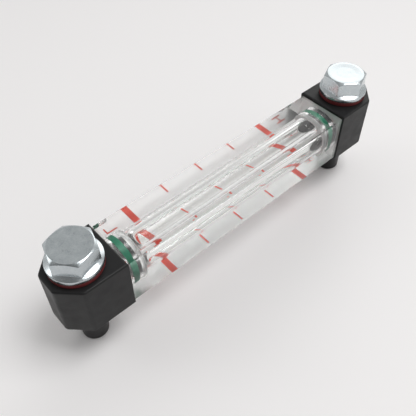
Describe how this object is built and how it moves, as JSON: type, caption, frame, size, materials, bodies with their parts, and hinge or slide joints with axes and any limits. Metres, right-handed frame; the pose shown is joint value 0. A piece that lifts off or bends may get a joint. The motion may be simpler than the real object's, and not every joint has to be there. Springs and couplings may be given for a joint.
{
  "type": "tank level gauge",
  "caption": "Hydraulic tank level gauge: a clear square sight bar with a printed scale, held between moulded end blocks by hollow flange bolts.",
  "frame": {"origin": "on the floor under the middle of the gauge, which stands on the caps of its two bolts", "axes": "+X along the bar from the low to the high end, +Z away from the tank wall, +Y across the bar"},
  "size_m": [0.176, 0.026, 0.0573],
  "materials": {
    "acrylic": "polished",
    "nylon": "moulded, satin",
    "zinc": "bright zinc plate",
    "seal_red": "matt",
    "seal_green": "satin",
    "seal_black": "satin",
    "cap_black": "moulded, smooth",
    "ink_red": "screen print"
  },
  "bodies": {
    "root": {"high_band": "ink_red", "letter_h": "ink_red", "letter_l": "ink_red", "low_band": "ink_red", "lower_back_ring": "seal_black", "lower_block": "nylon", "lower_bolt": "zinc", "lower_cap": "cap_black", "lower_spigot_ring": "seal_green", "lower_tick": "ink_red", "lower_washer": "seal_red", "middle_tick": "ink_red", "sight_bar": "acrylic", "upper_back_ring": "seal_black", "upper_block": "nylon", "upper_bolt": "zinc", "upper_cap": "cap_black", "upper_spigot_ring": "seal_green", "upper_tick": "ink_red", "upper_washer": "seal_red"}
  },
  "joints": []
}
